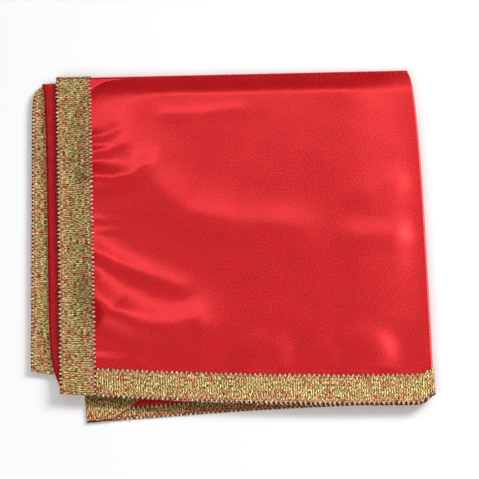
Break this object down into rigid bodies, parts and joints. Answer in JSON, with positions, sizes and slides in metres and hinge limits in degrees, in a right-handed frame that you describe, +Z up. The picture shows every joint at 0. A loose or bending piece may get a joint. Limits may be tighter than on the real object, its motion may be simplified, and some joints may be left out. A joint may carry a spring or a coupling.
{
  "type": "folded lace-trimmed satin cape cloth",
  "caption": "Square satin costume cloth with a metallic lace border and stitched seams, folded in four to lie flat; its top fold opens.",
  "frame": {"origin": "centre of the folded bundle's footprint, on the surface it lies on", "axes": "+X along the top fold, away from the free side edges; +Y towards the top fold; +Z up through the layers"},
  "size_m": [0.2888, 0.2816, 0.0096],
  "materials": {
    "satin": "satin weave, glossy face and matt back",
    "lace": "metallic woven lace, antique gold",
    "thread": "matt sewing thread"
  },
  "bodies": {
    "lower_half": {"satin_back_half": "satin", "lace_left_back": "lace", "lace_right_back": "lace", "lace_top": "lace", "seam_left_back_inner": "thread", "seam_left_back_outer": "thread", "seam_right_back_inner": "thread", "seam_right_back_outer": "thread", "seam_top_inner": "thread", "seam_top_outer": "thread"},
    "upper_half": {"satin_front_half": "satin", "lace_left_front": "lace", "lace_right_front": "lace", "lace_bottom": "lace", "seam_left_front_inner": "thread", "seam_left_front_outer": "thread", "seam_right_front_inner": "thread", "seam_right_front_outer": "thread", "seam_bottom_inner": "thread", "seam_bottom_outer": "thread"}
  },
  "joints": [
    {"name": "unfold", "type": "hinge", "parent": "lower_half", "child": "upper_half", "pos_m": [0, 0.141, 0.0048], "axis": [-1, 0, 0], "range_deg": [0, 180]}
  ]
}
